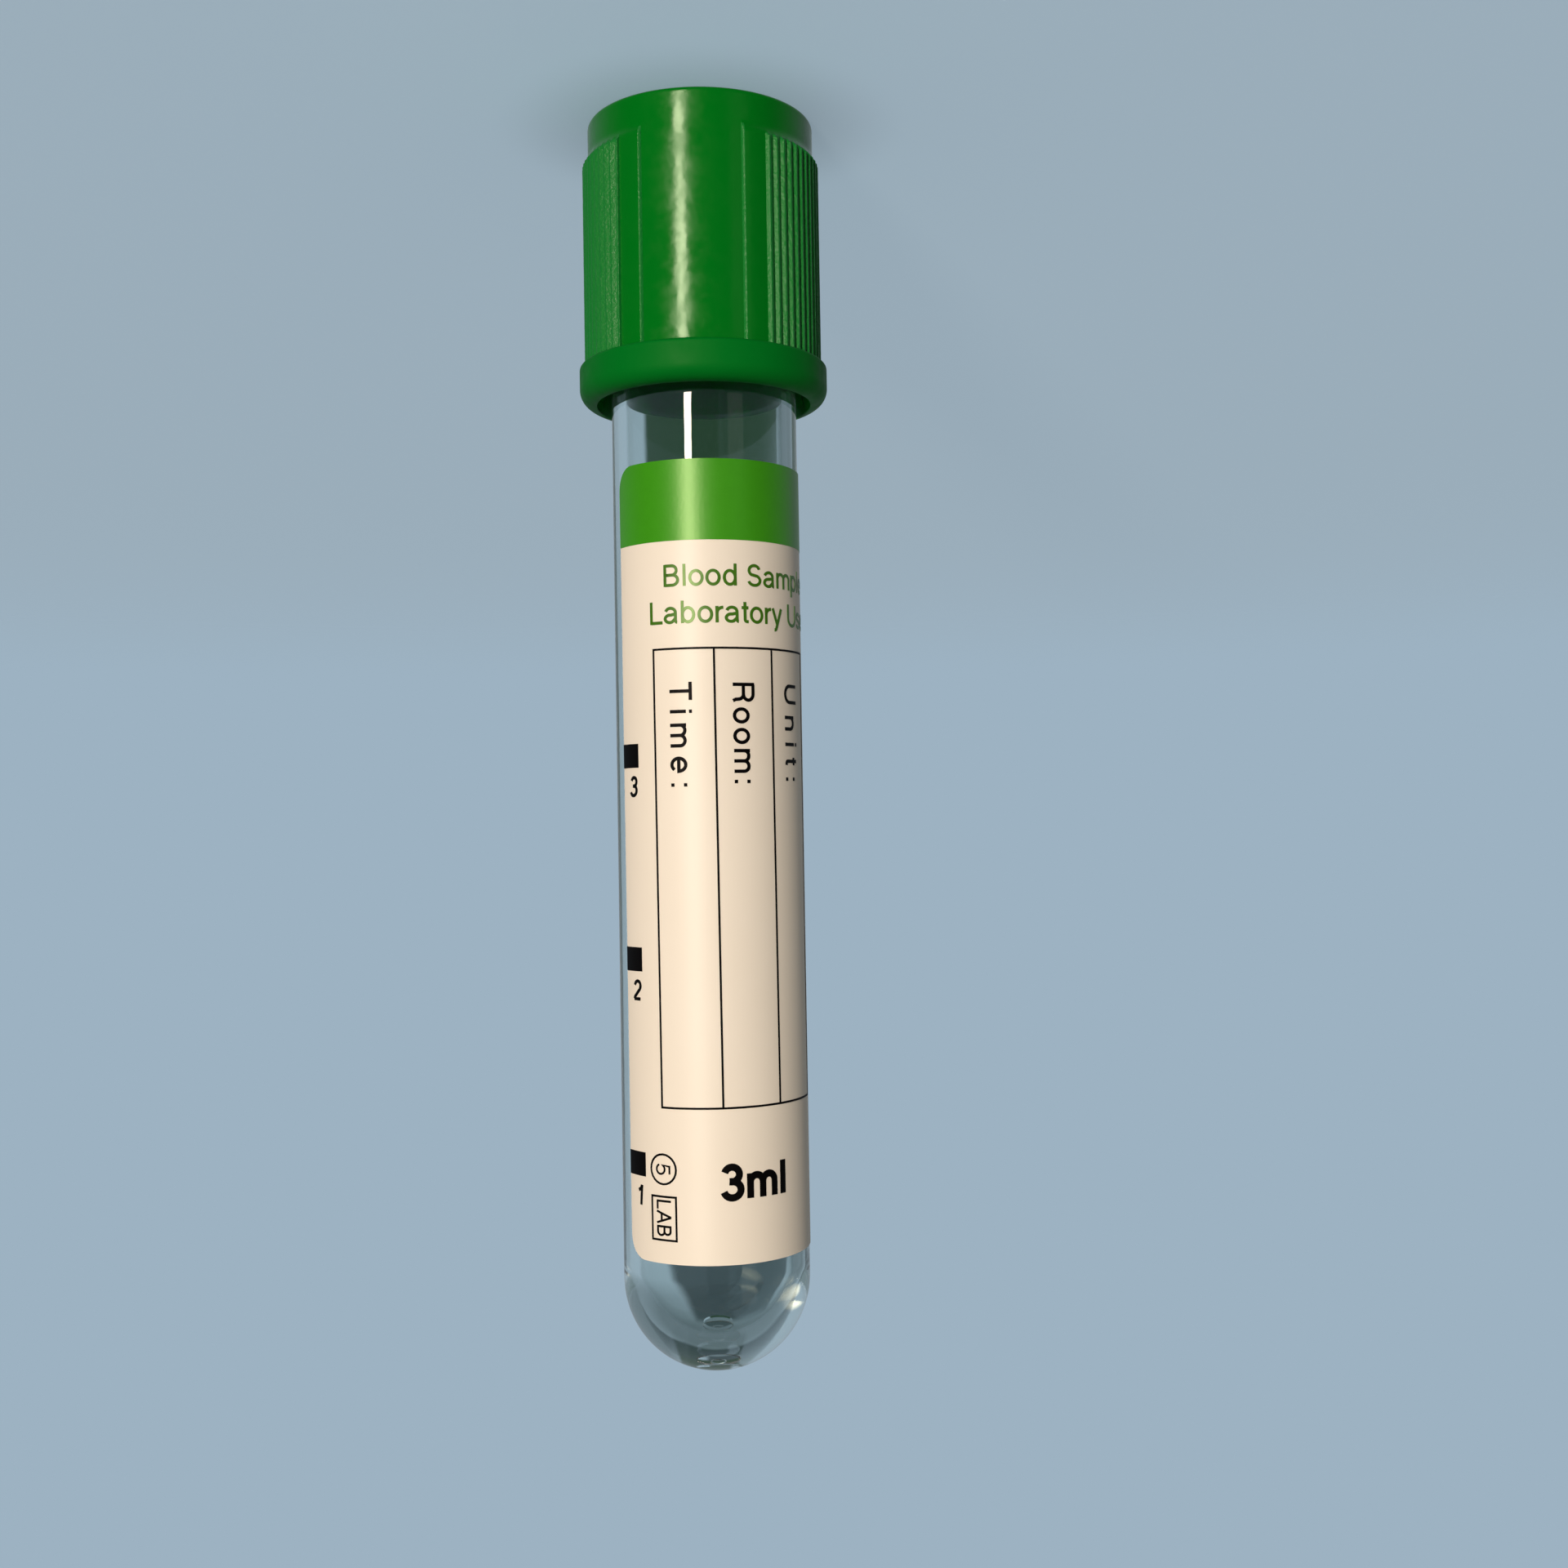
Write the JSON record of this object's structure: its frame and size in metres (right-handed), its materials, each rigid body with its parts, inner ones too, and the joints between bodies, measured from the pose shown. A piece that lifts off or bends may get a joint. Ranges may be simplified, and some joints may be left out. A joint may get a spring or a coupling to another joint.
{
  "type": "blood collection tube",
  "caption": "Clear round-bottomed tube with a wrap-around label, closed by a rubber stopper in a ribbed pull-off cap, for drawing and holding a blood sample.",
  "frame": {"origin": "on the bench, under the middle of the closed tube as it stands on its cap", "axes": "+Z along the tube, from the cap to the closed end; -Y out of the middle of the label's front"},
  "size_m": [0.0162, 0.016, 0.0803],
  "materials": {
    "clear_pet": "clear injection-moulded PET, polished inside and out",
    "label_film": "white self-adhesive film, satin",
    "green_ink": "yellow-green label ink, satin",
    "black_ink": "black label ink, satin",
    "butyl_rubber": "grey butyl rubber, dull",
    "green_polyethylene": "mid-green moulded polyethylene, semi-gloss with faint flow marks"
  },
  "bodies": {
    "cap": {"cap": "green_polyethylene"},
    "stopper": {"stopper": "butyl_rubber"},
    "vessel": {"tube": "clear_pet", "label": "label_film", "green_print": "green_ink", "black_print": "black_ink"}
  },
  "joints": [
    {"name": "cap_twist", "type": "hinge", "parent": "cap", "child": "stopper", "pos_m": [0, 0, 0], "axis": [0, 0, -1], "continuous": true},
    {"name": "closure_pull", "type": "slide", "parent": "stopper", "child": "vessel", "axis": [0, 0, 1], "range_m": [0, 0.013]}
  ]
}
